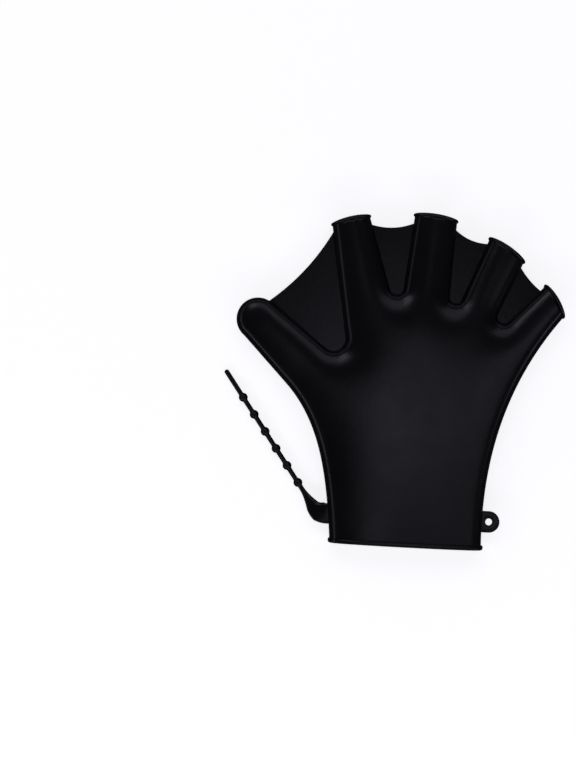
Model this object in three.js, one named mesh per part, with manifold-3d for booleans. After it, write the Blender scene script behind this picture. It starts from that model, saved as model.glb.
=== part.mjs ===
// A webbed swim glove for the right hand, moulded in black silicone rubber and lying palm down.
// Millimetres. X runs across the hand towards the little finger, Y from the cuff to the finger rims,
// and Z up from the surface that the palm lies on. The whole is drawn from the middle of the cuff's edge
// and then moved so that the origin lies under the middle of the palm, on that surface. The hand is
// drawn in plan as one outline. A skin is raised above the plane of the webs and another is dropped
// below it, each by a rule of its distance from the outline.
import * as THREE from 'three';
import Module from 'manifold-3d';
import { mergeVertices } from 'three/addons/utils/BufferGeometryUtils.js';

const wasm = await Module();
wasm.setup();

// The hand in plan
const REACH = 205.2; // from the cuff's edge to the rim of the middle finger
const SPAN = 203.3; // from the thumb's tip across to the rim of the little finger
const PALM_UP = 62; // from the cuff's edge to the middle of the palm
const WRIST_WIDTH = 94; // at the cuff, across the rubber
const FINGER_WIDTH = 26.3; // the middle finger's sleeve at its rim
const THUMB_WIDTH = 26.6; // at the round end of the thumb

// The hand in section
const WALL = 1.4; // of the rubber
const WEB_HEIGHT = 7.3; // of the webs' middle plane above the surface
const BACK_RISE = 11.3; // of the back of the hand above that plane, where the hand is broadest
const BACK_RUN = 16; // how far in from the outline the back takes to rise
const PALM_DROP = 7.6; // of the palm below that plane before it is pressed flat
const PALM_RUN = 5; // how far in from the outline the palm takes to drop

// The trim
const GAP = 0.3; // left between one moulded piece and the next
const WEB_THICKNESS = 1.3;
const RIM_LENGTH = 2.4; // of the bead round each finger's opening
const RIM_PROUD = 0.9; // how far that bead stands out of the sleeve
const CUFF_RIM_LENGTH = 2.9;
const CUFF_RIM_PROUD = 1.1;

// The closure: a knobbed strap on the thumb's side and an eyelet tab on the other
const CLOSURE_UP = 17.6; // middle of both tabs, above the cuff's edge
const STRAP_LENGTH = 113.1; // from the wrist's side to the plain tail's end
const STRAP_LEAN = -35.7; // heading of the knobbed stem, in degrees from straight up
const STRAP_CORNER = 8.4; // from the wrist's side to where the tab's line meets the stem's
const STRAP_BEND = 11; // radius of the turn between them
const TAB_WIDTH = 12.7;
const TAB_THICKNESS = 2.4;
const TAB_LENGTH = 7.8; // before it tapers
const TAPER_LENGTH = 17;
const STEM_DIAMETER = 3;
const TAPER_HOLLOW = 1.6; // 1 tapers straight, and more pulls the sides in
const TAB_SQUARENESS = 0.5; // 1 is an oval section, and less is a flatter one
const KNOB_DIAMETER = 5.6;
const KNOB_COUNT = 6;
const FIRST_KNOB = 29.7; // along the strap from the wrist's side
const KNOB_PITCH = 12.6;
const EYELET_REACH = 4; // from the wrist's side to the middle of the hole
const EYELET_HOLE = 4.2;
const EYELET_WIDTH = 13.4;

// The sleeves in order across the hand. across and up place the middle of a sleeve's end as shares of
// SPAN and REACH, and lean is its heading in degrees from straight up. width is a share of
// FINGER_WIDTH, or of THUMB_WIDTH for the thumb. flare is how much each side spreads for each
// millimetre towards the palm, and slant is the turn of the rim from square, in degrees.
const SLEEVES = [
  { name: 'thumb', across: -0.484, up: 0.662, lean: -48.7, width: 1, flare: 0.076, slant: 0 },
  { name: 'index', across: -0.2175, up: 0.9805, lean: -14, width: 0.895, flare: 0.078, slant: -1.5 },
  { name: 'middle', across: 0.043, up: 1, lean: 4.4, width: 1, flare: 0.03, slant: 2.4 },
  { name: 'ring', across: 0.266, up: 0.914, lean: 22.7, width: 0.965, flare: -0.012, slant: 9.7 },
  { name: 'little', across: 0.4205, up: 0.7665, lean: 41.5, width: 0.815, flare: 0.037, slant: 16.3 },
];

// The webs. Each joins a sleeve to the next. valley is the radius of the fold between the sleeves, and
// left and right say how far behind the two rims the web's free edge meets them, all as shares of
// FINGER_WIDTH. dip is the hollow of that edge as a share of its own length.
const WEBS = [
  { name: 'web_thumb_index', valley: 0.28, left: -0.12, right: 0.2, dip: 0.055 },
  { name: 'web_index_middle', valley: 0.16, left: 0.225, right: 0.22, dip: 0.09 },
  { name: 'web_middle_ring', valley: 0.145, left: 0.24, right: 0.1, dip: 0.1 },
  { name: 'web_ring_little', valley: 0.145, left: 0.255, right: 0.1, dip: 0.05 },
];

// The two long sides, each a curve from the cuff to an outer sleeve. start and end are the lengths of
// the curve's handles there as shares of REACH, and lean is its heading as it leaves the cuff. join is
// how far behind the sleeve's end the curve meets the sleeve's own edge, as a share of REACH.
const SIDES = {
  thumb: { start: 0.219, end: 0.151, lean: -5, join: 0.195 },
  little: { start: 0.3145, end: 0.242, lean: -2.5, join: 0 },
};

// How finely the faces are laid out
const STEP = 6.2; // along the outline
const VALLEY_STEPS = 7;
const TIP_STEPS = 14;
const CAP_STEPS = 8;
const RUN_ON = 12; // how far a sleeve is drawn past its opening before it is cut off
const FAR_RUN = 40; // how far it is drawn for the rule of distance
const SKINS = {
  back: { spacing: 7.4, insets: [0.5, 2, 5] },
  palm: { spacing: 10, insets: [0.9, 4] },
  lining: { spacing: 10, insets: [1, 4] },
};
const RIM_STEPS = 26;
const CUFF_RIM_STEPS = 44;
const BEAD_SIDES = 8;
const WEB_STEPS = 9;
const STRAP_SIDES = 10;
const TAB_STEPS = 12;
const KNOB_STEPS = 6;
const TAIL_STEPS = 4;
const EYELET_STEPS = 10;
const SHALLOW = 1e-4; // a stretch of outline that points straight at a point adds nothing
const SHIFT = 0.02; // of the filling's rows and columns, as a share of their spacing
const ROUNDING = 1e-9; // a point this near a circle, as a share of its size, counts as outside it
const END_CUT = 1.6; // width of the block that cuts a sleeve off past its rim, in FINGER_WIDTHs

// The unit direction at an angle in degrees from straight up, turned to the right.
function heading(degrees) {
  const angle = THREE.MathUtils.degToRad(degrees);
  return new THREE.Vector2(Math.sin(angle), Math.cos(angle));
}

// The direction a quarter turn to the right of another.
function rightOf(direction) {
  return new THREE.Vector2(direction.y, -direction.x);
}

function along(point, direction, distance) {
  return point.clone().addScaledVector(direction, distance);
}

// A sleeve's middle line, its two straight edges and the line of its opening.
function layOut(row) {
  const full = row.name === 'thumb' ? THUMB_WIDTH : FINGER_WIDTH;
  const end = new THREE.Vector2(row.across * SPAN, row.up * REACH);
  const axis = heading(row.lean);
  const spread = THREE.MathUtils.radToDeg(Math.atan(row.flare));
  const edge = (side) => ({
    point: along(end, rightOf(axis), (side * row.width * full) / 2),
    direction: heading(row.lean - side * spread),
  });
  const outward = heading(row.lean + row.slant);
  return { name: row.name, end, axis, outward, radius: full / 2, left: edge(-1), right: edge(1) };
}

const sleeves = SLEEVES.map(layOut);
const [thumb] = sleeves;
const fingers = sleeves.slice(1);
const little = sleeves[sleeves.length - 1];

// Where a straight edge crosses a line through a point.
function crossing(edge, point, direction) {
  const offset = point.clone().sub(edge.point);
  const distance = offset.cross(direction) / edge.direction.cross(direction);
  return along(edge.point, edge.direction, distance);
}

// Where a line square to a direction crosses a sleeve's two edges, a distance inward from its end.
function acrossSleeve(sleeve, direction, inward) {
  const middle = along(sleeve.end, direction, -inward);
  const across = rightOf(direction);
  return [crossing(sleeve.left, middle, across), crossing(sleeve.right, middle, across)];
}

// The folds between the sleeves: each an arc that touches one sleeve's right edge and the next one's
// left edge.
const folds = WEBS.map((row, index) => {
  const [before, after] = sleeves.slice(index, index + 2);
  const radius = row.valley * FINGER_WIDTH;
  const towardsAfter = rightOf(before.right.direction);
  const towardsBefore = rightOf(after.left.direction).negate();
  const centre = crossing(
    { point: along(before.right.point, towardsAfter, radius), direction: before.right.direction },
    along(after.left.point, towardsBefore, radius),
    after.left.direction,
  );
  const from = towardsAfter.clone().negate().angle();
  return { radius, centre, from, to: from + towardsAfter.angleTo(towardsBefore) };
});

// Points on a fold's arc, or on one a margin outside it, from the later sleeve to the earlier one.
function foldArc(fold, margin) {
  return arc(fold.centre, fold.radius + margin, fold.from, fold.to, VALLEY_STEPS).reverse();
}

function arc(centre, radius, from, to, steps) {
  return new THREE.EllipseCurve(centre.x, centre.y, radius, radius, from, to).getPoints(steps);
}

// A half circle, anticlockwise from one point to another.
function cap(from, to) {
  const centre = from.clone().lerp(to, 0.5);
  const start = from.clone().sub(centre).angle();
  return arc(centre, from.distanceTo(centre), start, start + Math.PI, CAP_STEPS);
}

// The side of the hand from the cuff's corner to an outer sleeve's edge.
function sideCurve(side, edge, shape) {
  const corner = new THREE.Vector2((side * WRIST_WIDTH) / 2, 0);
  const join = along(edge.point, edge.direction, -shape.join * REACH);
  const curve = new THREE.CubicBezierCurve(
    corner,
    along(corner, heading(shape.lean), shape.start * REACH),
    along(join, edge.direction, -shape.end * REACH),
    join,
  );
  return curve.getSpacedPoints(Math.ceil(curve.getLength() / STEP));
}

// The outline, anticlockwise from the cuff's left corner. The cuff and the fingers run on past their
// openings by a distance and end in half circles, which are cut off later.
function outline(past) {
  const cuff = [-1, 1].map((side) => new THREE.Vector2((side * WRIST_WIDTH) / 2, -past));
  const points = [...cap(...cuff), ...sideCurve(1, little.right, SIDES.little)];
  fingers.slice().reverse().forEach((finger, place) => {
    const [left, right] = acrossSleeve(finger, finger.axis, -past);
    points.push(...cap(right, left), ...foldArc(folds.at(-1 - place), 0));
  });
  const tipFrom = rightOf(thumb.right.direction).angle();
  const tipTo = rightOf(thumb.left.direction).negate().angle();
  points.push(...arc(thumb.end, thumb.radius, tipFrom, tipTo, TIP_STEPS));
  points.push(...sideCurve(-1, thumb.left, SIDES.thumb).reverse());
  return spaced(points);
}

// The same closed line with no stretch longer than STEP and no two points in one place.
function spaced(points) {
  const result = [];
  points.forEach((point, index) => {
    const next = points[(index + 1) % points.length];
    const steps = Math.ceil(point.distanceTo(next) / STEP);
    for (let step = 0; step < steps; step += 1) {
      result.push(point.clone().lerp(next, step / steps));
    }
  });
  return result.filter((point, index) => point.distanceTo(result.at(index - 1)) > GAP);
}

// A closed line moved sideways, inwards where the distance is above zero.
function inset(points, distance) {
  return points.map((point, index) => {
    const before = point.clone().sub(points.at(index - 1)).normalize();
    const after = points[(index + 1) % points.length].clone().sub(point).normalize();
    const inward = rightOf(before).add(rightOf(after)).negate();
    return along(point, inward, (2 * distance) / inward.lengthSq());
  });
}

const farOutline = outline(FAR_RUN);
const bodyOutline = outline(RUN_ON);

// The distance of a point from the outline, smoothed: one over the root mean of one over the squared
// distance in every direction. Along a straight edge it is the plain distance. Each stretch of the
// outline adds its own share in closed form.
function depth(point) {
  const total = farOutline.reduce((sum, corner, index) => {
    const next = farOutline[(index + 1) % farOutline.length];
    const length = corner.distanceTo(next);
    const tangent = next.clone().sub(corner).divideScalar(length);
    const offset = corner.clone().sub(point);
    const height = offset.cross(tangent);
    const start = offset.dot(tangent);
    if (Math.abs(height) < SHALLOW) return sum;
    const share = (s) => Math.atan(s / height) + (s * height) / (s * s + height * height);
    return sum + (share(start + length) - share(start)) / (2 * height * height);
  }, 0);
  return Math.sqrt(Math.PI / 2 / total);
}

// How far a skin stands off the web plane at a depth: a round edge that eases into a crown.
function stand(rise, run, distance) {
  return rise * Math.sqrt(1 - Math.exp(-Math.max(distance, 0) / run));
}

// The four skins, thickness in from the outer face.
function backHeight(point, thickness) {
  return WEB_HEIGHT + stand(BACK_RISE - thickness, BACK_RUN, depth(point) - thickness);
}

function palmHeight(point, thickness) {
  const drop = stand(PALM_DROP - thickness, PALM_RUN, depth(point) - thickness);
  return Math.max(thickness, WEB_HEIGHT - drop);
}

function isInside(point, polygon) {
  return polygon.reduce((inside, corner, index) => {
    const before = polygon.at(index - 1);
    if ((corner.y > point.y) === (before.y > point.y)) return inside;
    const slope = (before.x - corner.x) / (before.y - corner.y);
    return point.x < corner.x + slope * (point.y - corner.y) ? !inside : inside;
  }, false);
}

// Points in staggered rows inside a closed line, at least half a spacing from it. Every row and column
// is shifted a little so that few points share a circle.
function fill(polygon, spacing) {
  const box = new THREE.Box2().setFromPoints(polygon);
  const rowStep = spacing * Math.sin(Math.PI / 3);
  const points = [];
  for (let row = 0; box.min.y + row * rowStep < box.max.y; row += 1) {
    for (let column = 0; box.min.x + column * spacing < box.max.x; column += 1) {
      const stagger = (row % 2) / 2 + SHIFT * Math.sin(row + column * column);
      const x = box.min.x + (column + stagger) * spacing;
      const y = box.min.y + (row + SHIFT * Math.cos(row * row + column)) * rowStep;
      const point = new THREE.Vector2(x, y);
      const isClear = polygon.every((corner) => corner.distanceTo(point) > spacing / 2);
      if (isClear && isInside(point, polygon)) points.push(point);
    }
  }
  return points;
}

// The circle through three points, as its centre and squared radius.
function circleThrough(a, b, c) {
  const ab = b.clone().sub(a);
  const ac = c.clone().sub(a);
  const scale = 2 * ab.cross(ac);
  const x = (ac.y * ab.lengthSq() - ab.y * ac.lengthSq()) / scale;
  const y = (ab.x * ac.lengthSq() - ac.x * ab.lengthSq()) / scale;
  const centre = new THREE.Vector2(a.x + x, a.y + y);
  return { centre, squared: x * x + y * y };
}

// Joins points into triangles, added one at a time: the triangles whose circle holds the new point go,
// and the hole they leave is joined to it. The first two triangles are the halves of a box round
// everything, and whatever still touches its corners goes at the end.
function triangulate(points) {
  const { min, max } = new THREE.Box2().setFromPoints(points).expandByScalar(2 * STEP);
  const corners = [min, new THREE.Vector2(max.x, min.y), max, new THREE.Vector2(min.x, max.y)];
  const all = [...points, ...corners];
  const make = (a, b, c) => ({ corners: [a, b, c], ...circleThrough(all[a], all[b], all[c]) });
  const first = points.length;
  let triangles = [make(first, first + 1, first + 2), make(first, first + 2, first + 3)];
  points.forEach((point, index) => {
    const border = new Map();
    const kept = [];
    triangles.forEach((triangle) => {
      if (triangle.centre.distanceToSquared(point) > triangle.squared * (1 - ROUNDING)) {
        kept.push(triangle);
        return;
      }
      triangle.corners.forEach((from, corner) => {
        const to = triangle.corners[(corner + 1) % 3];
        if (!border.delete(`${to} ${from}`)) border.set(`${from} ${to}`, [from, to]);
      });
    });
    triangles = kept.concat([...border.values()].map(([from, to]) => make(from, to, index)));
  });
  return triangles.map((triangle) => triangle.corners)
    .filter((triangle) => Math.max(...triangle) < first);
}

// One skin of the hand over an outline, as loose triangles. Bands of faces follow the edge at the given
// insets, where the skin bends most, and the rest is filled. The filling's points are joined before the
// edge's, whose round ends would share circles. side is 1 for a skin that faces up.
function skin(edge, layout, height, side) {
  const rings = [edge, ...layout.insets.map((distance) => inset(edge, distance))];
  const core = rings[rings.length - 1];
  const flat = [];
  rings.slice(1).forEach((inner, index) => {
    const outer = rings[index];
    outer.forEach((corner, place) => {
      const next = (place + 1) % outer.length;
      flat.push([corner, outer[next], inner[next]], [corner, inner[next], inner[place]]);
    });
  });
  const filled = [...fill(core, layout.spacing), ...core];
  triangulate(filled).forEach((corners) => {
    const [a, b, c] = corners.map((corner) => filled[corner]);
    const middle = a.clone().add(b).add(c).divideScalar(3);
    const turn = b.clone().sub(a).cross(c.clone().sub(a));
    if (isInside(middle, core)) flat.push(turn > 0 ? [a, b, c] : [a, c, b]);
  });
  const onEdge = new Set(edge);
  const raised = new Map();
  const raise = (point) => {
    if (!raised.has(point)) raised.set(point, onEdge.has(point) ? WEB_HEIGHT : height(point));
    return new THREE.Vector3(point.x, point.y, raised.get(point));
  };
  return flat.flatMap((corners) => (side > 0 ? corners : corners.toReversed()).map(raise));
}

function toSolid(geometry) {
  geometry.deleteAttribute('normal');
  geometry.deleteAttribute('uv');
  const merged = mergeVertices(geometry);
  return new wasm.Manifold(new wasm.Mesh({
    numProp: 3,
    vertProperties: new Float32Array(merged.attributes.position.array),
    triVerts: new Uint32Array(merged.index.array),
  }));
}

function toGeometry(solid) {
  const mesh = solid.getMesh();
  const geometry = new THREE.BufferGeometry();
  geometry.setAttribute('position', new THREE.BufferAttribute(mesh.vertProperties, 3));
  geometry.setIndex(new THREE.BufferAttribute(mesh.triVerts, 1));
  return geometry;
}

// A closed solid between a skin that faces up and one that faces down.
function handSolid(edge, backLayout, palmLayout, thickness) {
  const corners = [
    ...skin(edge, backLayout, (point) => backHeight(point, thickness), 1),
    ...skin(edge, palmLayout, (point) => palmHeight(point, thickness), -1),
  ];
  return toSolid(new THREE.BufferGeometry().setFromPoints(corners));
}

// A block that takes away everything past an opening, from a distance inside its rim.
function beyond(middle, outward, inward, width) {
  const block = new THREE.BoxGeometry(width, 2 * FAR_RUN, 2 * FAR_RUN);
  block.rotateZ(Math.atan2(outward.y, outward.x) - Math.PI / 2);
  const centre = along(middle, outward, FAR_RUN - inward);
  block.translate(centre.x, centre.y, 0);
  return toSolid(block);
}

// The hollow hand: palm, back, thumb and four open sleeves in one wall of rubber.
function gloveBody() {
  const outer = handSolid(bodyOutline, SKINS.back, SKINS.palm, 0);
  const inner = handSolid(inset(bodyOutline, WALL), SKINS.lining, SKINS.lining, WALL);
  const cuff = beyond(new THREE.Vector2(), heading(180), CUFF_RIM_LENGTH + GAP, 2 * WRIST_WIDTH);
  const ends = fingers.map((finger) => (
    beyond(finger.end, finger.outward, RIM_LENGTH + GAP, END_CUT * FINGER_WIDTH)
  ));
  return [cuff, ...ends].reduce((body, end) => body.subtract(end), outer.subtract(inner));
}

// An upright block over a closed line in plan, taller than the hand.
function upright(points) {
  const options = { depth: 2 * FAR_RUN, bevelEnabled: false };
  const block = new THREE.ExtrudeGeometry(new THREE.Shape(points), options);
  block.translate(0, 0, -FAR_RUN);
  return toSolid(block);
}

// What joins the hand is trimmed by its outline with the gap round it.
const trimmer = upright(inset(bodyOutline, -GAP));

// A block over one sleeve or the thumb that divides it from the hand, straight across from the fold that
// is nearer its tip or from a margin before that. It reaches halfway into the folds beside it.
function sleeveBlock(index, margin) {
  const { end, axis, ...sleeve } = sleeves[index];
  const beside = [folds[index - 1], folds[index]];
  const roots = beside.filter(Boolean).map((fold) => end.clone().sub(fold.centre).dot(axis));
  const root = Math.min(...roots) + margin;
  const corners = acrossSleeve({ end, ...sleeve }, axis, root).map((point, side) => {
    const room = beside[side] ? beside[side].radius / 2 : FINGER_WIDTH / 2;
    return along(point, rightOf(axis), side === 0 ? -room : room);
  });
  const far = corners.toReversed().map((point) => along(point, axis, root + 2 * FAR_RUN));
  return upright([...corners, ...far]);
}

// A flat piece with its middle on the web plane, trimmed to the hand.
function flatPiece(shape, thickness, curveSegments) {
  const options = { depth: thickness, bevelEnabled: false, curveSegments };
  const plate = new THREE.ExtrudeGeometry(shape, options);
  plate.translate(0, 0, WEB_HEIGHT - thickness / 2);
  return toSolid(plate).subtract(trimmer);
}

// A web: a thin plate between two sleeves with a hollow free edge.
function web(row, index) {
  const before = sleeves[index];
  const after = sleeves[index + 1];
  const from = along(before.right.point, before.right.direction, -row.left * FINGER_WIDTH);
  const to = along(after.left.point, after.left.direction, -row.right * FINGER_WIDTH);
  const chord = to.clone().sub(from);
  const low = from.clone().lerp(to, 0.5).addScaledVector(rightOf(chord), 2 * row.dip);
  const insideBefore = along(from, rightOf(before.right.direction), -WALL);
  const insideAfter = along(to, rightOf(after.left.direction), WALL);
  const shape = new THREE.Shape([insideBefore, from]);
  shape.quadraticCurveTo(low.x, low.y, to.x, to.y);
  [insideAfter, ...foldArc(folds[index], WALL)].forEach((point) => shape.lineTo(point.x, point.y));
  return flatPiece(shape, WEB_THICKNESS, WEB_STEPS);
}

// Faces over rows of points. A closed loft joins its last row to its first, and an open one is capped.
function loft(rows, isClosed) {
  const sides = rows[0].length;
  const points = rows.flat();
  const index = [];
  const last = isClosed ? rows.length : rows.length - 1;
  for (let row = 0; row < last; row += 1) {
    for (let side = 0; side < sides; side += 1) {
      const a = row * sides + side;
      const b = row * sides + ((side + 1) % sides);
      const c = (a + sides) % points.length;
      const d = (b + sides) % points.length;
      index.push(a, b, d, a, d, c);
    }
  }
  if (!isClosed) {
    const far = points.length - sides;
    for (let side = 1; side < sides - 1; side += 1) {
      index.push(0, side + 1, side);
      index.push(far, far + side, far + side + 1);
    }
  }
  return new THREE.BufferGeometry().setFromPoints(points).setIndex(index);
}

// The bead round an opening: a rounded section of the wall and a little more, carried round the oval
// that the two skins draw between the opening's ends. It is pressed flat where it lies on the surface.
function rim([left, right], outward, length, proud, steps) {
  const middle = left.clone().lerp(right, 0.5);
  const across = right.clone().sub(left);
  const loop = Array.from({ length: steps }, (unused, step) => {
    const angle = ((step + 0.5) / steps) * 2 * Math.PI;
    const share = Math.cos(angle) / 2;
    const point = along(middle, across, share);
    const height = Math.sin(angle) > 0 ? backHeight(point, 0) : palmHeight(point, 0);
    return new THREE.Vector2(share * across.length(), height);
  });
  const corner = 1 / Math.cos(Math.PI / BEAD_SIDES);
  const rows = loop.map((point, index) => {
    const tangent = loop[(index + 1) % steps].clone().sub(loop.at(index - 1)).normalize();
    return Array.from({ length: BEAD_SIDES }, (unused, side) => {
      const angle = ((side + 0.5) / BEAD_SIDES) * 2 * Math.PI;
      const out = (proud - WALL + (proud + WALL) * corner * Math.cos(angle)) / 2;
      const forward = (length / 2) * corner * Math.sin(angle);
      const section = along(point, rightOf(tangent), out);
      const plan = along(along(middle, across, section.x / across.length()), outward, forward);
      return new THREE.Vector3(plan.x, plan.y, Math.max(section.y, 0));
    });
  });
  return toSolid(loft(rows, true));
}

// A place on the strap's middle line and the strap's heading there, a distance from the wrist's side:
// straight out of the hand, round a bend and straight on to the tail.
function strapPlace(distance) {
  const turn = 90 + STRAP_LEAN;
  const tangent = STRAP_BEND * Math.tan(THREE.MathUtils.degToRad(turn) / 2);
  const bendLength = STRAP_BEND * THREE.MathUtils.degToRad(turn);
  const start = new THREE.Vector2(-WRIST_WIDTH / 2, CLOSURE_UP);
  const bendStart = along(start, heading(-90), STRAP_CORNER - tangent);
  const past = distance - STRAP_CORNER + tangent;
  if (past < 0) return { point: along(bendStart, heading(-90), past), lean: -90 };
  const lean = -90 + turn * Math.min(past / bendLength, 1);
  const centre = along(bendStart, rightOf(heading(-90)), STRAP_BEND);
  const point = along(centre, rightOf(heading(lean)), -STRAP_BEND);
  return { point: along(point, heading(lean), Math.max(past - bendLength, 0)), lean };
}

// Where the strap is drawn: along the tab and its taper, over each knob, and along the plain tail.
function strapStations() {
  const stemRadius = STEM_DIAMETER / 2;
  const knobReach = Math.sqrt(KNOB_DIAMETER ** 2 - STEM_DIAMETER ** 2) / 2;
  const lastKnob = FIRST_KNOB + (KNOB_COUNT - 1) * KNOB_PITCH;
  const stretch = (from, to, steps, pace) => (
    Array.from({ length: steps + 1 }, (unused, step) => from + (to - from) * pace(step / steps))
  );
  const even = (share) => share;
  const round = (share) => (1 - Math.cos(Math.PI * share)) / 2;
  const knobs = Array.from({ length: KNOB_COUNT }, (unused, knob) => {
    const middle = FIRST_KNOB + knob * KNOB_PITCH;
    return stretch(middle - knobReach, middle + knobReach, KNOB_STEPS, round);
  });
  return [
    ...stretch(-TAB_WIDTH / 2, FIRST_KNOB - knobReach, TAB_STEPS, even).slice(0, -1),
    ...knobs.flat(),
    ...stretch(lastKnob + knobReach, STRAP_LENGTH - stemRadius, TAIL_STEPS, even).slice(1, -1),
    ...stretch(STRAP_LENGTH - 2 * stemRadius, STRAP_LENGTH, 2 * TAIL_STEPS, round).slice(TAIL_STEPS, -1),
  ];
}

// The strap: a flat tab that narrows to a round stem with knobs and a plain tail. It slopes from the web
// plane down to the surface, where it lies on its knobs.
function strap() {
  const { smoothstep, lerp } = THREE.MathUtils;
  const lastKnob = FIRST_KNOB + (KNOB_COUNT - 1) * KNOB_PITCH;
  const rows = strapStations().map((distance) => {
    const { point, lean } = strapPlace(distance);
    const taper = THREE.MathUtils.clamp((distance - TAB_LENGTH) / TAPER_LENGTH, 0, 1);
    const tab = (1 - taper) ** TAPER_HOLLOW;
    const nearest = Math.round((distance - FIRST_KNOB) / KNOB_PITCH);
    const knob = FIRST_KNOB + THREE.MathUtils.clamp(nearest, 0, KNOB_COUNT - 1) * KNOB_PITCH;
    const knobWidth = 2 * Math.sqrt(Math.max(KNOB_DIAMETER ** 2 / 4 - (distance - knob) ** 2, 0));
    const past = Math.max(distance - STRAP_LENGTH + STEM_DIAMETER / 2, 0);
    const stem = 2 * Math.sqrt(STEM_DIAMETER ** 2 / 4 - past ** 2);
    const round = Math.max(stem, knobWidth);
    const laid = lerp(KNOB_DIAMETER, STEM_DIAMETER, smoothstep(distance, lastKnob, STRAP_LENGTH)) / 2;
    const height = lerp(WEB_HEIGHT, laid, smoothstep(distance, 0, FIRST_KNOB));
    const squareness = lerp(1, TAB_SQUARENESS, tab);
    const across = rightOf(heading(lean)).negate();
    return Array.from({ length: STRAP_SIDES }, (unused, side) => {
      const angle = ((side + 0.5) / STRAP_SIDES) * 2 * Math.PI;
      const wide = Math.sign(Math.cos(angle)) * Math.abs(Math.cos(angle)) ** squareness;
      const high = Math.sign(Math.sin(angle)) * Math.abs(Math.sin(angle)) ** squareness;
      const plan = along(point, across, (lerp(round, TAB_WIDTH, tab) * wide) / 2);
      const thick = lerp(round, TAB_THICKNESS, tab) * high;
      return new THREE.Vector3(plan.x, plan.y, height + thick / 2);
    });
  });
  return toSolid(loft(rows, false)).subtract(trimmer);
}

// The eyelet: a flat round-ended tab with one hole, which the stem is pulled through.
function eyelet() {
  const middle = new THREE.Vector2(WRIST_WIDTH / 2 + EYELET_REACH, CLOSURE_UP);
  const half = EYELET_WIDTH / 2;
  const shape = new THREE.Shape();
  shape.moveTo(middle.x - EYELET_WIDTH, middle.y - half);
  shape.absarc(middle.x, middle.y, half, -Math.PI / 2, Math.PI / 2);
  shape.lineTo(middle.x - EYELET_WIDTH, middle.y + half);
  shape.holes.push(new THREE.Path().absarc(middle.x, middle.y, EYELET_HOLE / 2, 0, 2 * Math.PI));
  return flatPiece(shape, TAB_THICKNESS, EYELET_STEPS);
}

const group = new THREE.Group();
group.name = 'webbed_swim_glove';
group.position.y = -PALM_UP;

function add(name, solid) {
  const rubber = new THREE.MeshStandardMaterial({ color: 0x17161a, roughness: 0.42, metalness: 0 });
  const mesh = new THREE.Mesh(toGeometry(solid), rubber);
  mesh.name = name;
  group.add(mesh);
}

const body = gloveBody();
add('glove_body', sleeves.reduce((hand, row, index) => hand.subtract(sleeveBlock(index, GAP)), body));
sleeves.forEach((row, index) => add(`sleeve_${row.name}`, body.intersect(sleeveBlock(index, 0))));
WEBS.forEach((row, index) => add(row.name, web(row, index)));
fingers.forEach((finger) => {
  const ends = acrossSleeve(finger, finger.outward, RIM_LENGTH / 2);
  add(`rim_${finger.name}`, rim(ends, finger.outward, RIM_LENGTH, RIM_PROUD, RIM_STEPS));
});
const cuffEnds = [1, -1].map((side) => new THREE.Vector2((side * WRIST_WIDTH) / 2, CUFF_RIM_LENGTH / 2));
add('cuff_rim', rim(cuffEnds, heading(180), CUFF_RIM_LENGTH, CUFF_RIM_PROUD, CUFF_RIM_STEPS));
add('closure_strap', strap());
add('strap_eyelet', eyelet());

export default group;
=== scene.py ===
"""A webbed swim glove for the right hand, moulded in black silicone and lying palm down.

Lengths are worked out in millimetres from the middle of the cuff's edge, as the mould is drawn, and turned
into metres round the middle of the palm when a mesh is made.
"""

import bmesh
import bpy
import numpy as np
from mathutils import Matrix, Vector
from mathutils.geometry import delaunay_2d_cdt


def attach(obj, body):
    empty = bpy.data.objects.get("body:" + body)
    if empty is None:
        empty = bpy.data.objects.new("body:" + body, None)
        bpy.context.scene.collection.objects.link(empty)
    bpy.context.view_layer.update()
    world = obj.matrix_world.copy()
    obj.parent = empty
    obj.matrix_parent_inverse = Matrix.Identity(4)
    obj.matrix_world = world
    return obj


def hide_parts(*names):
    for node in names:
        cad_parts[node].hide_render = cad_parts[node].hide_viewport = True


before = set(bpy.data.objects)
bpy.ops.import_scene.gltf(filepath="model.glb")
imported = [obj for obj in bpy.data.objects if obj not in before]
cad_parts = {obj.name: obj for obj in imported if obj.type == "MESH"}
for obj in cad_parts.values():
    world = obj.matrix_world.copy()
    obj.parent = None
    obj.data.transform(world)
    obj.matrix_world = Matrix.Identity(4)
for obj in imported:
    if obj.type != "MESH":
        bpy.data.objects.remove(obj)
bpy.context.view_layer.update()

# The hand: one hollow skin of soft silicone, 1.4 mm thick, round the palm, the back, the closed thumb and
# four finger sleeves that are open at their ends. It is moulded in one piece and pressed a little flat
# by its own weight.

REACH = 205.2
SPAN = 203.3
PALM_UP = 62.0
WRIST_WIDTH = 94.0
FINGER_WIDTH = 26.3
THUMB_WIDTH = 26.6
THUMB_LEAN, THUMB_FLARE = -48.7, 0.076
WALL = 1.4
WEB_HEIGHT = 7.3
SHOULDER_RISE, SHOULDER_RUN = 5.6, 1.9  # the steep side above a fold
CROWN_RISE, CROWN_RUN = 6.5, 22.0  # the gentle rise over it
PALM_DROP, PALM_RUN = 7.6, 5.0
LEAST = 0.01  # the least distance from the edge that the skins' rules take
FAR_RUN = 40.0
MM = 0.001

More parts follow.
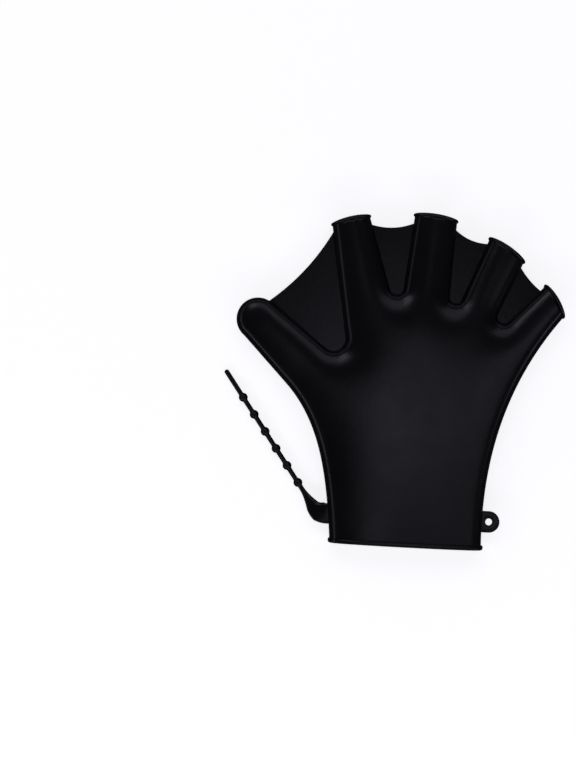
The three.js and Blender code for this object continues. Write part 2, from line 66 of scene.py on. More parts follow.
# name: across (share of SPAN), up (share of REACH), lean in degrees, width at the end, flare, slant
SLEEVES = {
    "thumb": (-0.484, 0.662, THUMB_LEAN, THUMB_WIDTH, THUMB_FLARE, 0.0),
    "index": (-0.2175, 0.9805, -14.0, 0.895 * FINGER_WIDTH, 0.078, -1.5),
    "middle": (0.043, 1.0, 4.4, FINGER_WIDTH, 0.03, 2.4),
    "ring": (0.266, 0.914, 22.7, 0.965 * FINGER_WIDTH, -0.012, 9.7),
    "little": (0.4205, 0.7665, 41.5, 0.815 * FINGER_WIDTH, 0.037, 16.3),
}
FOLD_RADII = np.array([0.28, 0.16, 0.145, 0.145]) * FINGER_WIDTH  # the thumb's fold first
# A side's curve: its handles at the cuff and at the sleeve (shares of REACH), its lean at the cuff in
# degrees, and how far back from the sleeve's end it joins it (share of REACH)
LITTLE_SIDE = dict(start=0.3145, end=0.242, lean=-2.5, join=0.0)
THUMB_SIDE = dict(start=0.219, end=0.151, lean=-5.0, join=0.195)
HAND_END = 1.2  # where the skin stops inside the rims, back from their faces
FOLD_STEPS, SIDE_STEPS, TIP_STEPS, MOUTH_STEPS = 40, 200, 80, 30
OUTLINE_STEP = 0.8
SLIDE_RUN = 8.0  # how far from an opening a line is still slid along to stay on it
FILL_GAP = 0.7  # the least distance from the bands to the points that fill the rest, in their spacing
TINY = 1e-4  # a length that counts as none
SAME_POINT = 1e-7
DEPTH_BATCH, FILL_BATCH = 4000, 2000  # points worked on at a time


def heading(degrees):
    """The unit direction at an angle from straight up, turned to the right."""
    return np.array([np.sin(np.radians(degrees)), np.cos(np.radians(degrees))])


def right_of(way):
    """Each direction turned a quarter to the right: (x, y) becomes (y, -x)."""
    return np.stack([way[..., 1], -way[..., 0]], axis=-1)


def crossing(point, way, through, line):
    """Where a line meets another: point + way * (offset x line) / (way x line)."""
    offset = through - point
    return point + way * (offset[0] * line[1] - offset[1] * line[0]) / (way[0] * line[1] - way[1] * line[0])


def lay_out(across, up, lean, width, flare, slant):
    """A sleeve's end, its axis, the direction that its rim faces, and its left and right edges."""
    end = np.array([across * SPAN, up * REACH])
    spread = np.degrees(np.arctan(flare))
    edges = [
        (end + right_of(heading(lean)) * side * width / 2, heading(lean - side * spread))
        for side in (-1, 1)
    ]
    return {"end": end, "axis": heading(lean), "outward": heading(lean + slant), "edges": edges}


def across_sleeve(sleeve, way, inward):
    """Where a line square to a direction, some way back from a sleeve's end, meets its two edges."""
    through = sleeve["end"] - way * inward
    return [crossing(*edge, through, right_of(way)) for edge in sleeve["edges"]]


def fold_arc(before, after, radius, margin=0.0):
    """The arc that rounds a fold, from the later sleeve's edge to the earlier one's."""
    (point_a, way_a), (point_b, way_b) = before["edges"][1], after["edges"][0]
    towards_a, towards_b = right_of(way_a), -right_of(way_b)
    centre = crossing(point_a + towards_a * radius, way_a, point_b + towards_b * radius, way_b)
    turn = np.arccos(np.clip(towards_a @ towards_b, -1, 1))
    start = np.arctan2(-towards_a[1], -towards_a[0])
    angle = start + turn * np.linspace(1, 0, FOLD_STEPS)
    return centre + (radius + margin) * np.stack([np.cos(angle), np.sin(angle)], axis=-1)


def side_curve(side, edge, start, end, lean, join):
    """A cubic Bezier curve from the cuff's corner to a sleeve's edge, with its handles as shares of REACH."""
    corner = np.array([side * WRIST_WIDTH / 2, 0.0])
    meet = edge[0] - edge[1] * join * REACH
    handles = [corner, corner + heading(lean) * start * REACH, meet - edge[1] * end * REACH, meet]
    t = np.linspace(0, 1, SIDE_STEPS)[:, None]
    weights = [(1 - t) ** 3, 3 * t * (1 - t) ** 2, 3 * t**2 * (1 - t), t**3]
    return sum(weight * handle for weight, handle in zip(weights, handles))


def even(points, step):
    """The same line with its points evenly spaced along it."""
    run = np.concatenate([[0], np.cumsum(np.linalg.norm(np.diff(points, axis=0), axis=1))])
    at = np.linspace(0, run[-1], int(np.ceil(run[-1] / step)) + 1)
    return np.stack([np.interp(at, run, points[:, axis]) for axis in (0, 1)], axis=-1)


sleeves = {name: lay_out(*row) for name, row in SLEEVES.items()}
thumb, index, middle, ring, little = sleeves.values()
far_ends = {name: across_sleeve(sleeve, sleeve["axis"], -FAR_RUN) for name, sleeve in sleeves.items()}
corner_down = np.array([0.0, -FAR_RUN])
tip_spread = np.arctan(THUMB_FLARE)
tip_angle = np.radians(-THUMB_LEAN) + np.linspace(-tip_spread, np.pi + tip_spread, TIP_STEPS)
thumb_tip = thumb["end"] + THUMB_WIDTH / 2 * np.stack([np.cos(tip_angle), np.sin(tip_angle)], axis=-1)
little_side = side_curve(1, little["edges"][1], **LITTLE_SIDE)
thumb_side = side_curve(-1, thumb["edges"][0], **THUMB_SIDE)

# The outline's five stretches, anticlockwise, each from one opening to the next and drawn on past both
stretches = [
    np.vstack([little_side[:1] + corner_down, little_side, far_ends["little"][1][None]]),
    *[
        np.vstack([far_ends[late][:1], fold_arc(sleeves[early], sleeves[late], radius), far_ends[early][1:]])
        for late, early, radius in zip(
            ("little", "ring", "middle"), ("ring", "middle", "index"), FOLD_RADII[:0:-1]
        )
    ],
    np.vstack([
        far_ends["index"][:1],
        fold_arc(thumb, index, FOLD_RADII[0]),
        thumb_tip,
        thumb_side[::-1],
        thumb_side[:1] + corner_down,
    ]),
]


def half_circle(start, stop):
    """Half a circle, anticlockwise from one point to another."""
    centre, arm = (start + stop) / 2, (start - stop) / 2
    angle = np.linspace(0, np.pi, MOUTH_STEPS)[1:-1, None]
    return centre + arm * np.cos(angle) + np.array([-arm[1], arm[0]]) * np.sin(angle)


loops = [
    part
    for stretch, following in zip(stretches, stretches[1:] + stretches[:1])
    for part in (even(stretch, OUTLINE_STEP), half_circle(stretch[-1], following[0]))
]
far_outline = np.vstack(loops)


def depth(points):
    """Each point's distance from the outline, smoothed.

    One over the root mean of one over the squared distance in every direction. A stretch of outline that
    passes at height h, between s and s + L along itself, adds F(s + L) - F(s) over 2 h squared, where
    F(s) = atan(s / h) + s h / (s s + h h).
    """
    following = np.roll(far_outline, -1, axis=0)
    length = np.linalg.norm(following - far_outline, axis=1)
    tangent = (following - far_outline) / length[:, None]
    result = np.empty(len(points))
    for first in range(0, len(points), DEPTH_BATCH):
        offset = far_outline[None] - points[first : first + DEPTH_BATCH, None]
        height = offset[..., 0] * tangent[:, 1] - offset[..., 1] * tangent[:, 0]
        near = (offset * tangent).sum(axis=-1)
        height = np.where(np.abs(height) < TINY, np.inf, height)
        square = height**2
        total = 0.0
        for sign, at in ((-1, near), (1, near + length)):
            with np.errstate(invalid="ignore"):
                share = np.arctan(at / height) + np.nan_to_num(at * height / (at**2 + square))
            total = total + sign * share
        inverse = (total / (2 * square)).sum(axis=1)
        result[first : first + DEPTH_BATCH] = np.where(inverse > 0, np.sqrt(np.pi / 2 / np.abs(inverse)), 0)
    return result


def smoothstep(value, start, stop):
    """0 before start, 1 after stop, and 3 t t - 2 t t t between."""
    t = np.clip((value - start) / (stop - start), 0, 1)
    return t * t * (3 - 2 * t)


def stand(rise, run, distance):
    """How far a skin stands off the web plane: rise * sqrt(1 - exp(-distance / run))."""
    return rise * np.sqrt(1 - np.exp(-np.maximum(distance, LEAST) / run))


def back_height(points, thickness):
    """A steep shoulder with a gentle crown over it: CROWN_RISE * (1 - exp(-distance / CROWN_RUN))."""
    distance = np.maximum(depth(points) - thickness, 0)
    crown = CROWN_RISE * (1 - np.exp(-distance / CROWN_RUN))
    shoulder = stand(SHOULDER_RISE - thickness, SHOULDER_RUN, distance)
    return WEB_HEIGHT + shoulder + crown


def palm_height(points, thickness):
    """The palm's skin: it drops from the web plane and is flat where it lies on the surface."""
    drop = stand(PALM_DROP - thickness, PALM_RUN, depth(points) - thickness)
    return np.maximum(thickness, WEB_HEIGHT - drop)


openings = [
    *[
        (sleeve["end"] - sleeve["outward"] * HAND_END, sleeve["outward"])
        for sleeve in (little, ring, middle, index)
    ],
    (np.array([0.0, HAND_END]), np.array([0.0, -1.0])),
]


def trimmed(line, before, after):
    """The part of a line that lies behind two opening planes, with its ends exactly on them."""
    for flip, (through, outward) in ((1, before), (-1, after)):
        line = line[::flip]
        past = (line - through) @ outward
        inside = np.argmax(past < 0)
        share = past[inside - 1] / (past[inside - 1] - past[inside])
        cut = line[inside - 1] + share * (line[inside] - line[inside - 1])
        line = np.vstack([cut, line[inside:]])[::flip]
    return line


def moved_in(line, distance, before, after):
    """A line moved sideways towards the hand, its ends slid along the skin to stay on the openings."""
    tangent = np.gradient(line, axis=0)
    tangent /= np.linalg.norm(tangent, axis=1)[:, None]
    result = line - right_of(tangent) * distance
    run = np.concatenate([[0], np.cumsum(np.linalg.norm(np.diff(line, axis=0), axis=1))])
    for end, reach, (through, outward) in ((0, run, before), (-1, run[-1] - run, after)):
        slide = -((result[end] - through) @ outward) / (tangent[end] @ outward)
        result = result + tangent * (slide * np.maximum(1 - reach / SLIDE_RUN, 0) ** 2)[:, None]
    return result


def is_inside(points, loop):
    """Even-odd rule: a point is inside where a line to its right crosses the loop an odd number of times."""
    a, b = loop, np.roll(loop, -1, axis=0)
    x, y = points[:, :1], points[:, 1:]
    spans = (a[:, 1] > y) != (b[:, 1] > y)
    rise = np.where(a[:, 1] == b[:, 1], 1, b[:, 1] - a[:, 1])
    return (spans & (x < a[:, 0] + (y - a[:, 1]) * (b[:, 0] - a[:, 0]) / rise)).sum(axis=1) % 2 == 1


def plan(inset, step, insets, spacing):
    """The hand's outline filled with triangles, in plan.

    Bands of faces follow the outline at the given insets, closer where the skin turns down, and staggered
    rows of points fill the rest. Returns the points, the triangles, which points lie on the outline, and
    the points along each opening in order.
    """
    around = list(zip(openings[-1:] + openings[:-1], openings))
    lines = [even(trimmed(line, *pair), step) for line, pair in zip(stretches, around)]
    bands = [
        [moved_in(line, inset + distance, *pair) for distance in insets]
        for line, pair in zip(lines, around)
    ]
    points, faces, first, starts = [], [], 0, []
    for band in bands:
        rows, count = len(band), len(band[0])
        points.append(np.vstack(band))
        starts.append(first)
        grid = first + np.arange(rows * count).reshape(rows, count)
        a, b, c, d = grid[:-1, :-1], grid[:-1, 1:], grid[1:, 1:], grid[1:, :-1]
        faces += [np.stack([a, b, c], -1).reshape(-1, 3), np.stack([a, c, d], -1).reshape(-1, 3)]
        first += rows * count
    mouths, loop = [], []
    for place, band in enumerate(bands):
        after = bands[(place + 1) % len(bands)]
        count, next_count = len(band[0]), len(after[0])
        across = np.linspace(band[-1][-1], after[-1][0], LIP_STEPS[place] + 1)[1:-1]
        leave = [starts[place] + row * count + count - 1 for row in range(len(band))]
        enter = [starts[(place + 1) % len(bands)] + row * next_count for row in range(len(band) - 1, -1, -1)]
        between = list(range(first, first + len(across)))
        first += len(across)
        points.append(across)
        mouths.append(leave + between + enter)
        inner = starts[place] + (len(band) - 1) * count
        loop += list(range(inner, inner + count)) + between
    points = np.vstack(points)
    edge = points[loop]
    low, high = edge.min(axis=0), edge.max(axis=0)
    rows = np.arange(low[1] + spacing / 2, high[1], spacing * np.sqrt(3) / 2)
    columns = np.arange(low[0], high[0], spacing)
    x = columns[None] + (np.arange(len(rows)) % 2)[:, None] * spacing / 2
    fill = np.stack([x, np.broadcast_to(rows[:, None], x.shape)], axis=-1).reshape(-1, 2)
    fill = fill[is_inside(fill, edge)]
    nearest = np.concatenate([
        np.linalg.norm(fill[at : at + FILL_BATCH, None] - edge[None], axis=-1).min(axis=1)
        for at in range(0, len(fill), FILL_BATCH)
    ])
    fill = fill[nearest > FILL_GAP * spacing]
    corners = [Vector(corner) for corner in np.vstack([edge, fill])]
    ring_edges = [(at, (at + 1) % len(edge)) for at in range(len(edge))]
    flat, _, triangles, origin, _, _ = delaunay_2d_cdt(corners, ring_edges, [], 1, SAME_POINT)
    names = np.array(loop + list(range(first, first + len(fill))))
    back = np.array([names[source[0]] for source in origin])
    points = np.vstack([points, fill])
    triangles = back[np.array(triangles)]
    a, b, c = (points[triangles[:, corner]] for corner in range(3))
    turn = (b - a)[:, 0] * (c - a)[:, 1] - (b - a)[:, 1] * (c - a)[:, 0]
    triangles = np.where(turn[:, None] > 0, triangles, triangles[:, ::-1])
    on_edge = np.zeros(len(points), bool)
    for start, band in zip(starts, bands):
        on_edge[start : start + len(band[0])] = True
    return points, np.vstack([*faces, triangles]), on_edge, mouths


WELD = 1e-7  # metres


def to_mesh(name, parts, material):
    """A piece from parts of (points in mm, faces), joined where their points meet, with smooth faces."""
    points, faces, first = [], [], 0
    for part_points, part_faces in parts:
        points.append(part_points)
        faces += (part_faces + first).tolist()
        first += len(part_points)
    mesh = bpy.data.meshes.new(name)
    mesh.from_pydata(((np.vstack(points) - [0, PALM_UP, 0]) * MM).tolist(), [], faces)
    made = bmesh.new()
    made.from_mesh(mesh)
    bmesh.ops.remove_doubles(made, verts=made.verts, dist=WELD)
    bmesh.ops.dissolve_degenerate(made, edges=made.edges, dist=WELD)
    made.to_mesh(mesh)
    made.free()
    mesh.shade_smooth()
    mesh.materials.append(material)
    piece = bpy.data.objects.new(name, mesh)
    bpy.context.collection.objects.link(piece)
    return piece


def silicone():
    """Black silicone with a satin skin: a nearly black body, faint cool and warm clouds in its sheen, and a
    fine grain that the mould leaves in it."""
    material = bpy.data.materials.new("black_silicone")
    material.use_nodes = True
    tree = material.node_tree
    shader = tree.nodes["Principled BSDF"]
    shader.inputs["Specular IOR Level"].default_value = 0.5
    shader.inputs["IOR"].default_value = 1.43
    place = tree.nodes.new("ShaderNodeTexCoord")

    def noise(scale, detail, roughness=0.5):
        node = tree.nodes.new("ShaderNodeTexNoise")
        node.inputs["Scale"].default_value = scale
        node.inputs["Detail"].default_value = detail
        node.inputs["Roughness"].default_value = roughness
        tree.links.new(place.outputs["Object"], node.inputs["Vector"])
        return node.outputs["Fac"]

    def between(value, low, high, start=0.3, stop=0.7):
        node = tree.nodes.new("ShaderNodeMapRange")
        node.inputs["From Min"].default_value = start
        node.inputs["From Max"].default_value = stop
        node.inputs["To Min"].default_value = low
        node.inputs["To Max"].default_value = high
        tree.links.new(value, node.inputs["Value"])
        return node.outputs["Result"]

    tint = tree.nodes.new("ShaderNodeMix")
    tint.data_type = "RGBA"
    tint.inputs["A"].default_value = (0.0052, 0.0052, 0.0066, 1)
    tint.inputs["B"].default_value = (0.0078, 0.0070, 0.0080, 1)
    tree.links.new(between(noise(22, 3), 0, 1), tint.inputs["Factor"])
    tree.links.new(tint.outputs["Result"], shader.inputs["Base Color"])
    tree.links.new(between(noise(35, 4, 0.6), 0.19, 0.27), shader.inputs["Roughness"])

    coarse = tree.nodes.new("ShaderNodeBump")
    coarse.inputs["Strength"].default_value = 0.10
    coarse.inputs["Distance"].default_value = 0.0004
    tree.links.new(noise(260, 3), coarse.inputs["Height"])
    grain = tree.nodes.new("ShaderNodeBump")
    grain.inputs["Strength"].default_value = 0.16
    grain.inputs["Distance"].default_value = 0.00006
    tree.links.new(noise(3200, 2), grain.inputs["Height"])
    tree.links.new(coarse.outputs["Normal"], grain.inputs["Normal"])
    tree.links.new(grain.outputs["Normal"], shader.inputs["Normal"])
    return material


black = silicone()
LIP_STEPS = (22, 22, 22, 22, 64)  # faces across each finger's opening, and across the cuff
# The bands' insets grow with the square of their number, so that they are closest at the outline
OUTER = dict(inset=0.0, step=1.25, insets=0.03 * np.arange(13) ** 2, spacing=1.5)
INNER = dict(inset=WALL, step=2.0, insets=0.022 * np.arange(13) ** 2, spacing=2.6)


def skins(thickness, layout):
    """The upper and lower skins over one plan, and the two rows of points that end them at each opening."""
    flat, triangles, on_edge, mouths = plan(**layout)
    heights = [np.where(on_edge, WEB_HEIGHT, rule(flat, thickness)) for rule in (back_height, palm_height)]
    upper, lower = (np.column_stack([flat, height]) for height in heights)
    return upper, lower, triangles, mouths


outer_back, outer_palm, outer_faces, outer_mouths = skins(0.0, OUTER)
inner_back, inner_palm, inner_faces, inner_mouths = skins(WALL, INNER)
lips = []
for outer_mouth, inner_mouth in zip(outer_mouths, inner_mouths):
    count = len(outer_mouth)
    at = np.arange(count - 1)
    quads = np.stack([at, at + 1, at + 1 + count, at + count], axis=-1)
    lips.append((np.vstack([outer_back[outer_mouth], inner_back[inner_mouth]]), quads[:, ::-1]))
    lips.append((np.vstack([outer_palm[outer_mouth], inner_palm[inner_mouth]]), quads))
hand = to_mesh(
    "hand_skin",
    [
        (outer_back, outer_faces),
        (outer_palm, outer_faces[:, ::-1]),
        (inner_back, inner_faces[:, ::-1]),
        (inner_palm, inner_faces),
        *lips,
    ],
    black,
)
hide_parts("glove_body", *[f"sleeve_{name}" for name in SLEEVES])
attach(hand, "root")

# The rims: a flared lip of the same rubber round each finger's opening, whose face bulges a little forward,
# and a bolder round roll round the cuff. Both are moulded in one with the hand and pressed flat underneath.

RIM_LENGTH, RIM_PROUD, RIM_BULGE = 2.4, 0.9, 1.2
CUFF_RIM_LENGTH, CUFF_RIM_PROUD = 2.9, 1.1
SECTION_STEPS = 28
RIM_SQUARENESS = 0.7
FLARE_START, FLARE_STOP = -1.0, 0.2  # from the back of a rim (-1) towards its face (1)


def rounded(wave, squareness):
    """A wave between -1 and 1 made squarer: its size to a power below 1, with its sign kept."""
    return np.sign(wave) * np.abs(wave) ** squareness


def rim(name, ends, outward, length, proud, steps, flare, bulge):
    """A closed tube round an opening.

    The path is the hand's own section between the opening's ends, at cos(angle) / 2 across it. The section
    is a rounded box from the wall's inside to the rim's outside. A flare of 1 lets its outside rise from
    the hand's skin to the lip, and the bulge moves its middle forward by 1 / 2 - cos(angle)^2.
    """
    left, right = ends
    angle = (np.arange(steps) + 0.5) / steps * 2 * np.pi
    share = np.cos(angle) / 2
    flat = (left + right) / 2 + share[:, None] * (right - left)
    tall = np.where(np.sin(angle) > 0, back_height(flat, 0.0), palm_height(flat, 0.0))
    path = np.stack([share * np.linalg.norm(right - left), tall], axis=-1)
    tangent = np.roll(path, -1, axis=0) - np.roll(path, 1, axis=0)
    tangent /= np.linalg.norm(tangent, axis=1)[:, None]
    turn = np.arange(SECTION_STEPS) / SECTION_STEPS * 2 * np.pi
    across_wall, forward = rounded(np.cos(turn), RIM_SQUARENESS), rounded(np.sin(turn), RIM_SQUARENESS)
    rise = proud * (1 - flare * (1 - smoothstep(forward, FLARE_START, FLARE_STOP)))
    out = (rise * (1 + across_wall) - WALL * (1 - across_wall)) / 2
    section = path[:, None] + right_of(tangent)[:, None] * out[None, :, None]
    across = (right - left) / np.linalg.norm(right - left)
    ahead = forward * length / 2 + bulge * (0.5 - np.cos(angle)[:, None] ** 2)
    plane = (left + right) / 2 + section[..., :1] * across + ahead[..., None] * outward
    points = np.dstack([plane, np.maximum(section[..., 1], 0)]).reshape(-1, 3)
    grid = np.arange(steps * SECTION_STEPS).reshape(steps, SECTION_STEPS)
    a, b = grid, np.roll(grid, -1, axis=1)
    c, d = np.roll(b, -1, axis=0), np.roll(a, -1, axis=0)
    piece = to_mesh(f"{name}_lip", [(points, np.stack([a, b, c, d], axis=-1).reshape(-1, 4))], black)
    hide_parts(name)
    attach(piece, "root")


for name in ("index", "middle", "ring", "little"):
    outward = sleeves[name]["outward"]
    ends = across_sleeve(sleeves[name], outward, RIM_LENGTH / 2)
    rim(f"rim_{name}", ends, outward, RIM_LENGTH, RIM_PROUD, steps=140, flare=1.0, bulge=RIM_BULGE)
cuff_ends = [np.array([side * WRIST_WIDTH / 2, CUFF_RIM_LENGTH / 2]) for side in (1, -1)]
cuff_outward = np.array([0.0, -1.0])
rim("cuff_rim", cuff_ends, cuff_outward, CUFF_RIM_LENGTH, CUFF_RIM_PROUD, steps=280, flare=0.0, bulge=0.0)

# The webs: four flat sheets of the same rubber, 1.3 mm thick, moulded in one with the sleeves at half
# their height. Each fills a fold from its round bottom to a free edge that is pulled in between the rims.

WEB_THICKNESS = 1.3
WEB_ROOT = 0.9  # how far a sheet runs into the walls beside it
# earlier sleeve, later sleeve, fold radius, how far behind each sleeve's end the free edge meets it (shares
# of FINGER_WIDTH), and how far it is pulled in (share of its length)
WEBS = [
    ("thumb", "index", FOLD_RADII[0], -0.12, 0.2, 0.055),
    ("index", "middle", FOLD_RADII[1], 0.225, 0.22, 0.09),
    ("middle", "ring", FOLD_RADII[2], 0.24, 0.1, 0.1),
    ("ring", "little", FOLD_RADII[3], 0.255, 0.1, 0.05),
]


def web(before, after, radius, left, right, dip, rows=96, columns=49):
    """A sheet ruled between its two sides, from the free edge down to the bottom of the fold.

    Each side runs down inside a sleeve's wall and half way round the fold. The free edge is pulled in by
    dip times 4 u (1 - u) of its length, and the sheet is rounded off there: its thickness at s from the
    edge is a quarter circle, sqrt(1 - (1 - s / r)^2).
    """
    arc = fold_arc(sleeves[before], sleeves[after], radius, WEB_ROOT)
    half = len(arc) // 2
    low = (arc[half - 1] + arc[half]) / 2
    place = 1 - np.cos(np.linspace(0, np.pi / 2, rows))
    starts, sides = [], []
    for (point, way), behind, side, part in (
        (sleeves[before]["edges"][1], left, -1, arc[::-1][:half]),
        (sleeves[after]["edges"][0], right, 1, arc[:half]),
    ):
        starts.append(point - way * behind * FINGER_WIDTH + right_of(way) * side * WEB_ROOT)
        line = np.vstack([starts[-1], part, low])
        run = np.concatenate([[0], np.cumsum(np.linalg.norm(np.diff(line, axis=0), axis=1))])
        sides.append(np.stack([np.interp(place * run[-1], run, line[:, axis]) for axis in (0, 1)], axis=-1))
    u = np.linspace(0, 1, columns)[None, :, None]
    pull = dip * 4 * u * (1 - u) * np.maximum(1 - 2 * place, 0)[:, None, None] ** 2
    sheet = sides[0][:, None] * (1 - u) + sides[1][:, None] * u + right_of(starts[1] - starts[0]) * pull
    steps = np.linalg.norm(np.diff(sheet, axis=0), axis=-1)
    from_edge = np.vstack([np.zeros(columns), np.cumsum(steps, axis=0)])
    thick = np.sqrt(1 - (1 - np.minimum(from_edge / (WEB_THICKNESS / 2), 1)) ** 2) * WEB_THICKNESS / 2
    thick[:, [0, -1]] = 0
    thick[-1] = 0
    grid = np.arange(rows * columns).reshape(rows, columns)
    quads = np.stack([grid[:-1, :-1], grid[1:, :-1], grid[1:, 1:], grid[:-1, 1:]], axis=-1).reshape(-1, 4)
    flat = sheet.reshape(-1, 2)
    top = np.column_stack([flat, WEB_HEIGHT + thick.ravel()])
    bottom = np.column_stack([flat, WEB_HEIGHT - thick.ravel()])
    return [(top, quads), (bottom, quads[:, ::-1])]


for before, after, *shape in WEBS:
    sheet = to_mesh(f"web_{before}_{after}_sheet", web(before, after, *shape), black)
    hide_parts(f"web_{before}_{after}")
    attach(sheet, "root")

# The closure strap: a flat tab at the cuff on the thumb's side that bends, narrows to a round stem with six
# knobs on it and ends in a plain tail. It is soft rubber, and slopes from the cuff down to the surface.

CLOSURE_UP = 17.6
STRAP_LENGTH, STRAP_LEAN, STRAP_CORNER, STRAP_BEND = 113.1, -35.7, 8.4, 11.0
TAB_WIDTH, TAB_THICKNESS, TAB_LENGTH, TAPER_LENGTH = 12.7, 2.4, 7.8, 17.0
STEM_DIAMETER, KNOB_DIAMETER, KNOB_COUNT, FIRST_KNOB, KNOB_PITCH = 3.0, 5.6, 6, 29.7, 12.6
STRAP_ROOT = -1.0
STRAP_STEP, TAIL_STEPS = 0.45, 15
TAPER_POWER = 1.6
TAB_SQUARENESS = 0.5
KNOB_BLEND = 4  # for each mm: the larger, the sharper the corner between a knob and the stem


def strap_route(at):
    """The strap's middle line: straight out of the cuff, round a bend and straight on to the tail."""
    turn = 90 + STRAP_LEAN
    tangent = STRAP_BEND * np.tan(np.radians(turn) / 2)
    bend = STRAP_BEND * np.radians(turn)
    start = np.array([-WRIST_WIDTH / 2 - STRAP_CORNER + tangent, CLOSURE_UP])
    past = at - STRAP_CORNER + tangent
    lean = -90 + turn * np.clip(past / bend, 0, 1)
    way = np.stack([np.sin(np.radians(lean)), np.cos(np.radians(lean))], axis=-1)
    centre = start + right_of(heading(-90)) * STRAP_BEND
    point = centre - right_of(way) * STRAP_BEND
    return point + way * np.where(past < 0, past, np.maximum(past - bend, 0))[:, None], way


def strap():
    """A tube whose section goes from a flat rounded box at the tab to a circle along the stem.

    Each knob is a ball, whose width at s along the strap is 2 sqrt(r r - s s). The tail ends in a half
    ball.
    """
    last = FIRST_KNOB + (KNOB_COUNT - 1) * KNOB_PITCH
    at = np.unique(np.concatenate([
        np.arange(STRAP_ROOT, STRAP_LENGTH - STEM_DIAMETER, STRAP_STEP),
        STRAP_LENGTH - STEM_DIAMETER / 2 * (1 + np.cos(np.linspace(0, np.pi, TAIL_STEPS))),
    ]))
    at = at[at < STRAP_LENGTH - TINY]
    point, way = strap_route(at)
    tab = (1 - np.clip((at - TAB_LENGTH) / TAPER_LENGTH, 0, 1)) ** TAPER_POWER
    nearest = np.clip(np.round((at - FIRST_KNOB) / KNOB_PITCH), 0, KNOB_COUNT - 1)
    from_knob = at - FIRST_KNOB - nearest * KNOB_PITCH
    ball = 2 * np.sqrt(np.maximum(KNOB_DIAMETER**2 / 4 - from_knob**2, 0))
    in_tail = np.maximum(at - STRAP_LENGTH + STEM_DIAMETER / 2, 0)
    stem = 2 * np.sqrt(np.maximum(STEM_DIAMETER**2 / 4 - in_tail**2, 0))
    blend = np.log(np.exp(stem * KNOB_BLEND) + np.exp(ball * KNOB_BLEND)) / KNOB_BLEND
    round_width = np.where(at > STRAP_LENGTH - STEM_DIAMETER, stem, np.minimum(blend, KNOB_DIAMETER))
    laid = (KNOB_DIAMETER + (STEM_DIAMETER - KNOB_DIAMETER) * smoothstep(at, last, STRAP_LENGTH)) / 2
    tall = WEB_HEIGHT + (laid - WEB_HEIGHT) * smoothstep(at, 0, FIRST_KNOB)
    squareness = 1 - TAB_SQUARENESS * tab[:, None]
    turn = np.arange(SECTION_STEPS) / SECTION_STEPS * 2 * np.pi
    width = round_width + (TAB_WIDTH - round_width) * tab
    thickness = round_width + (TAB_THICKNESS - round_width) * tab
    wide = width[:, None] / 2 * rounded(np.cos(turn), squareness)
    high = thickness[:, None] / 2 * rounded(np.sin(turn), squareness)
    plane = point[:, None] - right_of(way)[:, None] * wide[..., None]
    points = np.dstack([plane, tall[:, None] + high]).reshape(-1, 3)
    grid = np.arange(len(at) * SECTION_STEPS).reshape(len(at), SECTION_STEPS)
    a, b = grid[:-1], np.roll(grid[:-1], -1, axis=1)
    c, d = np.roll(grid[1:], -1, axis=1), grid[1:]
    sides = np.stack([a, b, c, d], axis=-1).reshape(-1, 4)
    caps = [np.array([grid[0][::-1]]), np.array([grid[-1]])]
    return points, sides, caps


points, sides, caps = strap()
made = [(points, sides)] + [(points[cap[0]], np.arange(len(cap[0]))[None]) for cap in caps]
closure = to_mesh("knobbed_strap", made, black)
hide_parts("closure_strap")
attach(closure, "root")

# The eyelet: a flat round-ended tab on the other side of the cuff with one hole, which the strap's knobs are
# pulled through.

EYELET_REACH, EYELET_HOLE, EYELET_WIDTH, EYELET_ROOT = 4.0, 4.2, 13.4, -0.9
EYELET_STEPS, EYELET_SECTION_STEPS = 96, 16
EYELET_SQUARENESS = 0.45


def eyelet():
    """A ring of sections round the hole, each from the hole's wall out to the tab's edge.

    Outwards the edge is a circle, and towards the cuff it runs straight back to the wrist's side.
    """
    angle = np.arange(EYELET_STEPS) / EYELET_STEPS * 2 * np.pi
    cos, sin = np.cos(angle), np.sin(angle)
    half = EYELET_WIDTH / 2
    back = EYELET_REACH - EYELET_ROOT
    with np.errstate(divide="ignore"):
        straight = np.minimum(half / np.abs(sin), back / np.maximum(-cos, 1e-9))
    outer = np.where(cos > 0, half, straight)
    inner = EYELET_HOLE / 2
    turn = np.arange(EYELET_SECTION_STEPS) / EYELET_SECTION_STEPS * 2 * np.pi
    outwards, upwards = rounded(-np.cos(turn), EYELET_SQUARENESS), rounded(np.sin(turn), EYELET_SQUARENESS)
    radius = (inner + outer[:, None]) / 2 + (outer[:, None] - inner) / 2 * outwards
    tall = WEB_HEIGHT + TAB_THICKNESS / 2 * upwards * np.ones((EYELET_STEPS, 1))
    x = WRIST_WIDTH / 2 + EYELET_REACH + radius * cos[:, None]
    y = CLOSURE_UP + radius * sin[:, None]
    grid = np.arange(EYELET_STEPS * EYELET_SECTION_STEPS).reshape(EYELET_STEPS, EYELET_SECTION_STEPS)
    a, b = grid, np.roll(grid, -1, axis=1)
    c, d = np.roll(b, -1, axis=0), np.roll(a, -1, axis=0)
    return np.stack([x, y, tall], axis=-1).reshape(-1, 3), np.stack([a, b, c, d], axis=-1).reshape(-1, 4)


tab = to_mesh("eyelet_tab", [eyelet()], black)
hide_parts("strap_eyelet")
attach(tab, "root")

# The surface and the light: a white table in a white room, under soft lights. Two strips hang overhead with
# a dim gap between them, two lights hang far beyond the fingers, and low strips stand in a ring round the
# glove.

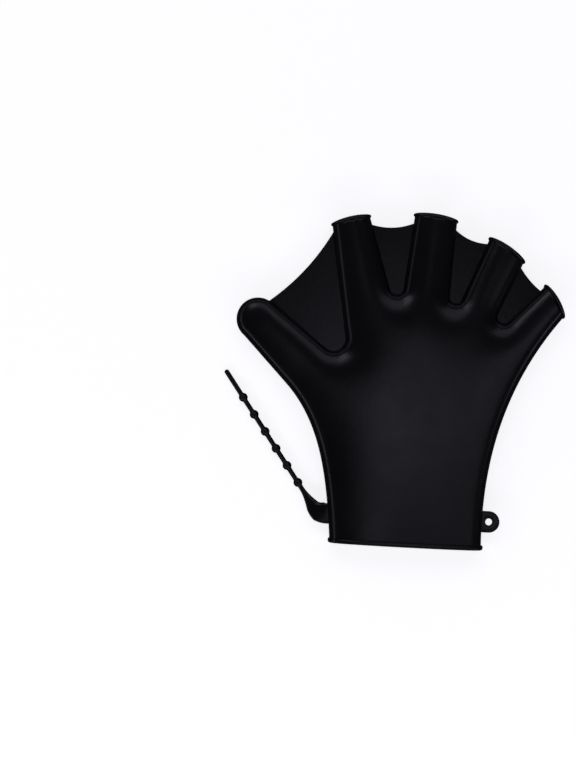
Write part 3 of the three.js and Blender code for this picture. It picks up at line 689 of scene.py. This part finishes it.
ROOM, TABLE_DROP = 3.0, -0.0001
corners = [(-ROOM, -ROOM), (ROOM, -ROOM), (ROOM, ROOM), (-ROOM, ROOM)]
room = [(x, y, z) for z in (TABLE_DROP, ROOM) for x, y in corners]
walls = [(0, 4, 5, 1), (1, 5, 6, 2), (2, 6, 7, 3), (3, 7, 4, 0)]
table_mesh = bpy.data.meshes.new("table")
table_mesh.from_pydata(room, [], [(0, 1, 2, 3), *walls])
table = bpy.data.objects.new("table", table_mesh)
bpy.context.collection.objects.link(table)
table_white = bpy.data.materials.new("table_white")
table_white.use_nodes = True
table_shader = table_white.node_tree.nodes["Principled BSDF"]
table_shader.inputs["Base Color"].default_value = (0.9, 0.9, 0.9, 1)
table_shader.inputs["Roughness"].default_value = 0.9
table_shader.inputs["Emission Color"].default_value = (1, 1, 1, 1)
table_shader.inputs["Emission Strength"].default_value = 0.8
table_mesh.materials.append(table_white)
table.visible_glossy = False
table.visible_diffuse = False


LIGHT_COLOUR = (0.96, 0.95, 1.16)
LIGHT_HEIGHT = 1.2
STRIP_LENGTH, STRIP_WIDTH = 0.5, 0.2


def soft_light(name, place, width, height, radiance):
    """A rectangular light that faces the glove. Its power is radiance times pi times its area."""
    data = bpy.data.lights.new(name, "AREA")
    data.shape = "RECTANGLE"
    data.size, data.size_y = width, height
    data.energy = radiance * np.pi * width * height
    data.color = LIGHT_COLOUR
    light = bpy.data.objects.new(name, data)
    light.location = place
    light.rotation_euler = Vector(place).to_track_quat("Z", "Y").to_euler()
    bpy.context.collection.objects.link(light)


# Two long strips with a dim gap between them light the palm, and two far lights the slopes below the webs.
# name: left, right, near and far edge over the glove, and radiance
OVERHEAD = {
    "left_strip": (-0.15, 0.0, -0.5, 0.25, 0.45),
    "gap": (0.0, 0.35, -0.5, 0.15, 0.1),
    "right_strip": (0.35, 0.5, -0.5, 0.4, 0.6),
    "far": (-0.3, 0.8, 0.7, 1.4, 0.5),
    "far_left": (-0.75, -0.3, 0.7, 1.3, 1.2),
}
for name, (left, right, near, far, radiance) in OVERHEAD.items():
    soft_light(name, ((left + right) / 2, (near + far) / 2, LIGHT_HEIGHT), right - left, far - near, radiance)

# The low strips stand a metre away, dim beyond the fingers and brighter towards the cuff, with none on the
# right of the fingers, whose right sides stay dark.
STRIP_DIM, STRIP_BRIGHT = 0.4, 1.8
STRIP_LOW, STRIP_HIGH = 0.2, 0.55
RING_STEP, RING_GAP = 30, (60, 90)
for turn in range(-150, 181, RING_STEP):
    if turn in RING_GAP:
        continue
    towards_cuff = (1 - np.cos(np.radians(turn))) / 2
    radiance = STRIP_DIM + (STRIP_BRIGHT - STRIP_DIM) * towards_cuff**2
    height = STRIP_LOW + (STRIP_HIGH - STRIP_LOW) * smoothstep(towards_cuff, 0, 0.5)
    soft_light(f"ring_{turn}", (*heading(turn), height), STRIP_LENGTH, STRIP_WIDTH, radiance)

world = bpy.data.worlds.new("studio")
world.use_nodes = True
world.node_tree.nodes["Background"].inputs["Color"].default_value = (0.03, 0.03, 0.034, 1)
bpy.context.scene.world = world
bpy.context.scene.view_settings.view_transform = "Standard"

# The camera looks straight down from just under a metre, turned three degrees against the glove.

CAMERA_HEIGHT = 0.95
CAMERA_OVER = (-0.0777, 0.0345)
CAMERA_TURN = 3
SENSOR_SIZE = 36
PICTURE_HEIGHT = 476.2  # how much of the table it takes in from the picture's top to its foot, in millimetres
camera_data = bpy.data.cameras.new("camera")
camera_data.sensor_width = SENSOR_SIZE
camera_data.lens = SENSOR_SIZE * CAMERA_HEIGHT * 1000 / PICTURE_HEIGHT
camera = bpy.data.objects.new("camera", camera_data)
camera.location = (*CAMERA_OVER, CAMERA_HEIGHT + WEB_HEIGHT * MM)
camera.rotation_euler = (0, 0, np.radians(CAMERA_TURN))
bpy.context.collection.objects.link(camera)
bpy.context.scene.camera = camera
